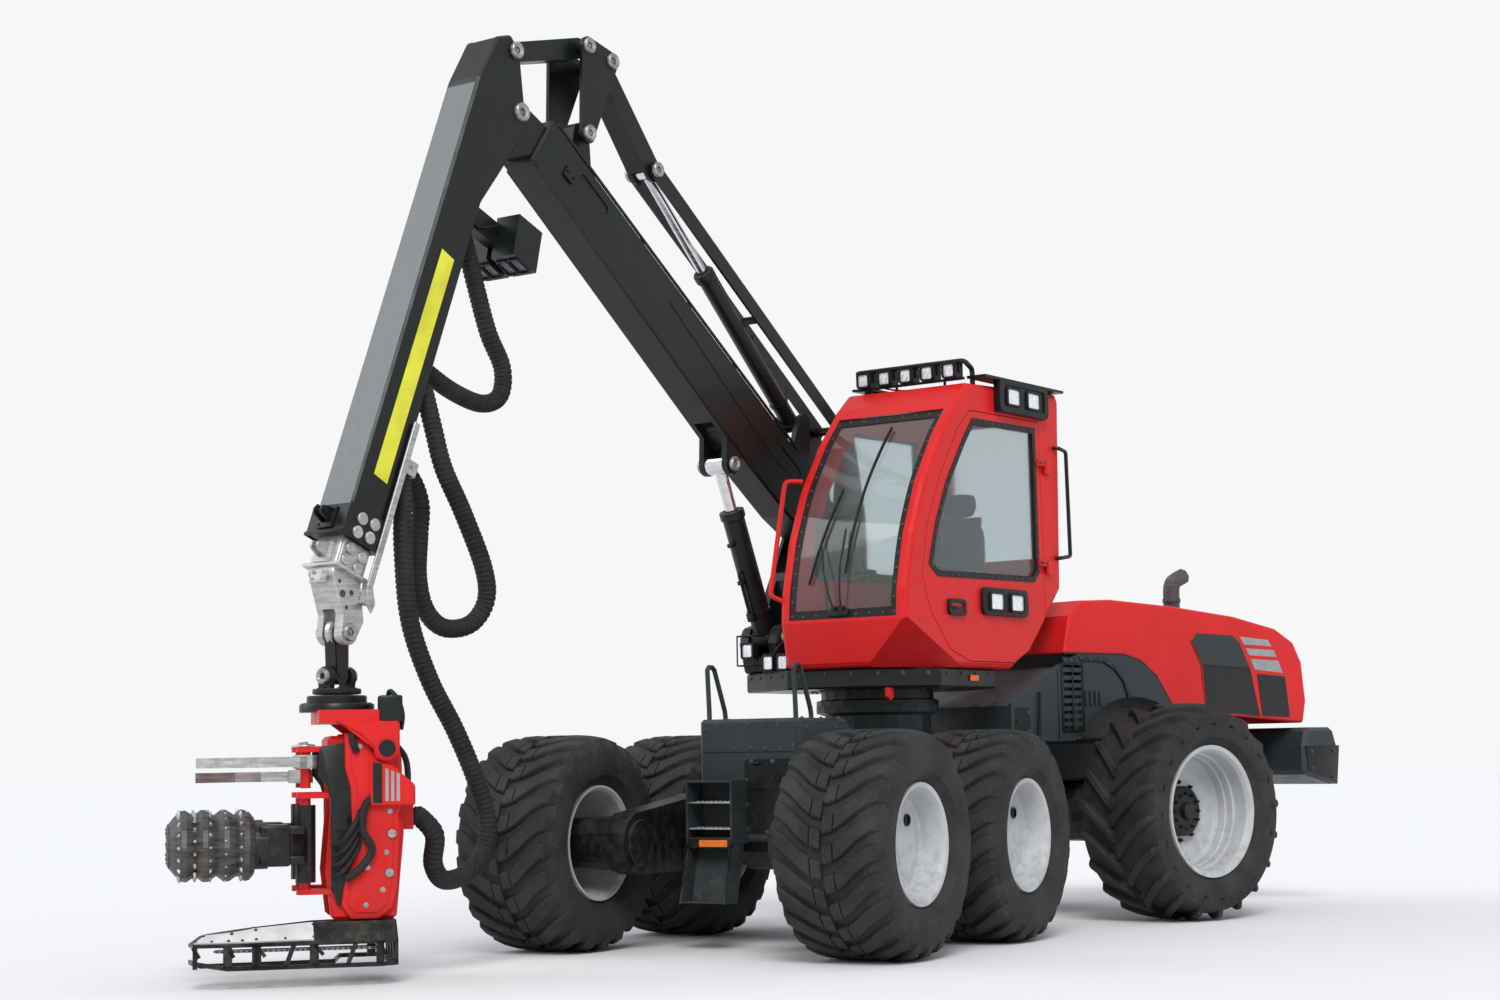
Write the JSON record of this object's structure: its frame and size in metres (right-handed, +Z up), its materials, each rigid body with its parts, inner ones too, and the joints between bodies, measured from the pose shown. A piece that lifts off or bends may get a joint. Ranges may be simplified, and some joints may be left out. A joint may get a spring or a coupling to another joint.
{
  "type": "forestry harvester",
  "caption": "Six-wheeled forestry harvester with a turning cab and crane platform, a parallel crane with a sliding stick, a felling head and an articulated rear frame.",
  "frame": {"origin": "on the ground under the middle of the whole machine's box", "axes": "+X forwards along the front frame, towards the felling head; +Y to the machine's left; +Z up"},
  "size_m": [9.6448, 4.1754, 5.7145],
  "materials": {
    "red_paint": "glossy bright red enamel",
    "slate_paint": "satin dark slate grey enamel",
    "black_paint": "satin black enamel, worn and dusty",
    "rim_paint": "light grey enamel, muddy",
    "rubber": "dusty black rubber",
    "steel": "bare worn steel",
    "glass": "clear tinted safety glass",
    "hose": "black rubber hose in a spiral guard",
    "cloth": "dark seat cloth"
  },
  "bodies": {
    "chassis": {"front_frame": "slate_paint", "front_axle": "black_paint", "bogie_case_left": "black_paint", "bogie_case_right": "black_paint"},
    "rear": {"rear_frame": "slate_paint", "rear_axle": "black_paint", "engine_block": "steel", "lower_cowl": "slate_paint", "hood": "red_paint", "exhaust": "steel"},
    "platform": {"platform_deck": "black_paint", "cab_shell": "red_paint", "right_glass": "glass", "windscreen": "glass", "rear_glass": "glass", "seat": "cloth", "light_bar": "black_paint", "cab_rail": "black_paint", "crane_pillar": "black_paint"},
    "door": {"cab_door": "red_paint", "door_glass": "glass"},
    "boom": {"main_boom": "black_paint"},
    "rocker": {"rocker": "black_paint"},
    "coupler": {"coupler": "black_paint"},
    "beam": {"parallel_beam": "black_paint", "parallel_bar": "black_paint"},
    "fold_barrel": {"fold_barrel": "black_paint"},
    "fold_rod": {"fold_rod": "steel"},
    "lift_barrel": {"lift_barrel": "black_paint"},
    "lift_rod": {"lift_rod": "steel"},
    "stick": {"stick": "black_paint", "hose_upper_loop": "hose", "hose_lower_loop": "hose", "hose_head_drop": "hose"},
    "extension": {"stick_extension": "steel"},
    "tip_link": {"tip_link": "black_paint"},
    "rotator": {"rotator_body": "black_paint"},
    "hanger": {"tilt_hanger": "black_paint"},
    "head": {"head_frame": "red_paint", "saw_box": "black_paint"},
    "saw": {"saw_bar": "steel"},
    "knife_left": {"knife_left": "steel"},
    "knife_right": {"knife_right": "steel"},
    "feed_left": {"feed_arm_left": "black_paint"},
    "feed_right": {"feed_arm_right": "black_paint"},
    "roller_left": {"feed_roller_left": "steel"},
    "roller_right": {"feed_roller_right": "steel"},
    "bogie_front_left_wheel": {"bogie_front_left_tyre": "rubber", "bogie_front_left_rim": "rim_paint"},
    "bogie_front_right_wheel": {"bogie_front_right_tyre": "rubber", "bogie_front_right_rim": "rim_paint"},
    "bogie_rear_left_wheel": {"bogie_rear_left_tyre": "rubber", "bogie_rear_left_rim": "rim_paint"},
    "bogie_rear_right_wheel": {"bogie_rear_right_tyre": "rubber", "bogie_rear_right_rim": "rim_paint"},
    "rear_left_wheel": {"rear_left_tyre": "rubber", "rear_left_rim": "rim_paint"},
    "rear_right_wheel": {"rear_right_tyre": "rubber", "rear_right_rim": "rim_paint"}
  },
  "joints": [
    {"name": "steering", "type": "hinge", "parent": "chassis", "child": "rear", "pos_m": [-0.771, -0.026, 0], "axis": [0, 0, 1], "range_deg": [-20.9, 59.1]},
    {"name": "slew", "type": "hinge", "parent": "chassis", "child": "platform", "pos_m": [-0.501, -0.026, 0], "axis": [0, 0, 1], "range_deg": [-83.3, 96.7]},
    {"name": "door_swing", "type": "hinge", "parent": "platform", "child": "door", "pos_m": [-1.30853, 0.91665, 2.8], "axis": [0, 0, -1], "range_deg": [-75, 0]},
    {"name": "boom_lift", "type": "hinge", "parent": "platform", "child": "boom", "pos_m": [-0.8193, -0.59273, 2.72], "axis": [-0.1167, -0.9932, 0], "range_deg": [-15, 30]},
    {"name": "lift_cylinder_swing", "type": "hinge", "parent": "platform", "child": "lift_barrel", "pos_m": [-0.11414, -0.67557, 1.99], "axis": [-0.1167, -0.9932, 0], "range_deg": [-10.9, 20.8]},
    {"name": "lift_cylinder_stroke", "type": "slide", "parent": "lift_barrel", "child": "lift_rod", "axis": [0.4026, -0.0473, 0.9141], "range_m": [-0.2432, 0.4815]},
    {"name": "stick_fold", "type": "hinge", "parent": "boom", "child": "stick", "pos_m": [2.48796, -0.98125, 5.1], "axis": [0.1167, 0.9932, 0], "range_deg": [-45, 12]},
    {"name": "rocker_swing", "type": "hinge", "parent": "boom", "child": "rocker", "pos_m": [1.88213, -0.91008, 5.09], "axis": [0.1167, 0.9932, 0], "range_deg": [-31.15, 9.04]},
    {"name": "coupler_swing", "type": "hinge", "parent": "rocker", "child": "coupler", "pos_m": [1.8722, -0.90891, 5.65], "axis": [0.1167, 0.9932, 0], "range_deg": [-8.68, 29.8]},
    {"name": "beam_swing", "type": "hinge", "parent": "rocker", "child": "beam", "pos_m": [1.64377, -0.88208, 5.6], "axis": [0.1167, 0.9932, 0], "range_deg": [-9.04, 31.15]},
    {"name": "fold_cylinder_swing", "type": "hinge", "parent": "boom", "child": "fold_barrel", "pos_m": [-0.45182, -0.6359, 3.5], "axis": [0.1167, 0.9932, 0], "range_deg": [-1.9, 1.24]},
    {"name": "fold_cylinder_stroke", "type": "slide", "parent": "fold_barrel", "child": "fold_rod", "axis": [0.7267, -0.0854, 0.6817], "range_m": [-0.294, 0.0821]},
    {"name": "stick_reach", "type": "slide", "parent": "stick", "child": "extension", "axis": [0.3709, -0.0436, -0.9276], "range_m": [0, 0.9], "deforming": ["hose_head_drop"]},
    {"name": "tip_swing", "type": "hinge", "parent": "extension", "child": "tip_link", "pos_m": [3.89827, -1.14692, 1.9], "axis": [-0.1167, -0.9932, 0], "range_deg": [-35, 35], "deforming": ["hose_head_drop"]},
    {"name": "cross_swing", "type": "hinge", "parent": "tip_link", "child": "rotator", "pos_m": [3.89827, -1.14692, 1.66], "axis": [0.9932, -0.1167, 0], "range_deg": [-25, 25], "deforming": ["hose_head_drop"]},
    {"name": "rotator_turn", "type": "hinge", "parent": "rotator", "child": "hanger", "pos_m": [3.89827, -1.14692, 1.56], "axis": [0, 0, 1], "continuous": true, "deforming": ["hose_head_drop"]},
    {"name": "head_tilt", "type": "hinge", "parent": "hanger", "child": "head", "pos_m": [3.73367, -0.97226, 1.26], "axis": [0.7278, 0.6858, 0], "range_deg": [0, 95], "deforming": ["hose_head_drop"]},
    {"name": "saw_swing", "type": "hinge", "parent": "head", "child": "saw", "pos_m": [3.99231, -0.83845, 0.195], "axis": [0, 0, -1], "range_deg": [0, 85]},
    {"name": "knife_left_swing", "type": "hinge", "parent": "head", "child": "knife_left", "pos_m": [4.18889, -1.12725, 1.165], "axis": [0, 0, 1], "range_deg": [-15, 30]},
    {"name": "knife_right_swing", "type": "hinge", "parent": "head", "child": "knife_right", "pos_m": [3.86139, -1.43587, 1.085], "axis": [0, 0, -1], "range_deg": [-15, 30]},
    {"name": "feed_left_swing", "type": "hinge", "parent": "head", "child": "feed_left", "pos_m": [4.18889, -1.12725, 0.75], "axis": [0, 0, 1], "range_deg": [-8, 30]},
    {"name": "roller_left_spin", "type": "hinge", "parent": "feed_left", "child": "roller_left", "pos_m": [4.1166, -0.94118, 0.75], "axis": [0.6858, -0.7278, 0], "continuous": true},
    {"name": "feed_right_swing", "type": "hinge", "parent": "head", "child": "feed_right", "pos_m": [3.86139, -1.43587, 0.75], "axis": [0, 0, -1], "range_deg": [-8, 30]},
    {"name": "roller_right_spin", "type": "hinge", "parent": "feed_right", "child": "roller_right", "pos_m": [3.67993, -1.35267, 0.75], "axis": [0.6858, -0.7278, 0], "continuous": true},
    {"name": "bogie_front_left_spin", "type": "hinge", "parent": "chassis", "child": "bogie_front_left_wheel", "pos_m": [1.767, 1.074, 0.6675], "axis": [0, 1, 0], "continuous": true},
    {"name": "bogie_front_right_spin", "type": "hinge", "parent": "chassis", "child": "bogie_front_right_wheel", "pos_m": [1.767, -1.126, 0.6675], "axis": [0, 1, 0], "continuous": true},
    {"name": "bogie_rear_left_spin", "type": "hinge", "parent": "chassis", "child": "bogie_rear_left_wheel", "pos_m": [0.231, 1.074, 0.6675], "axis": [0, 1, 0], "continuous": true},
    {"name": "bogie_rear_right_spin", "type": "hinge", "parent": "chassis", "child": "bogie_rear_right_wheel", "pos_m": [0.231, -1.126, 0.6675], "axis": [0, 1, 0], "continuous": true},
    {"name": "rear_left_spin", "type": "hinge", "parent": "rear", "child": "rear_left_wheel", "pos_m": [-2.04017, 1.56297, 0.757], "axis": [0.3279, 0.9447, 0], "continuous": true},
    {"name": "rear_right_spin", "type": "hinge", "parent": "rear", "child": "rear_right_wheel", "pos_m": [-2.75167, -0.48707, 0.757], "axis": [0.3279, 0.9447, 0], "continuous": true}
  ],
  "couplings": [
    {"joint": "lift_cylinder_swing", "follows": "boom_lift", "ratio": 0.66},
    {"joint": "lift_cylinder_stroke", "follows": "boom_lift", "m_per_rad": 0.91},
    {"joint": "rocker_swing", "follows": "stick_fold", "ratio": 0.67},
    {"joint": "coupler_swing", "follows": "stick_fold", "ratio": -0.64},
    {"joint": "beam_swing", "follows": "stick_fold", "ratio": -0.67},
    {"joint": "fold_cylinder_swing", "follows": "stick_fold", "ratio": 0.02},
    {"joint": "fold_cylinder_stroke", "follows": "stick_fold", "m_per_rad": 0.368}
  ]
}
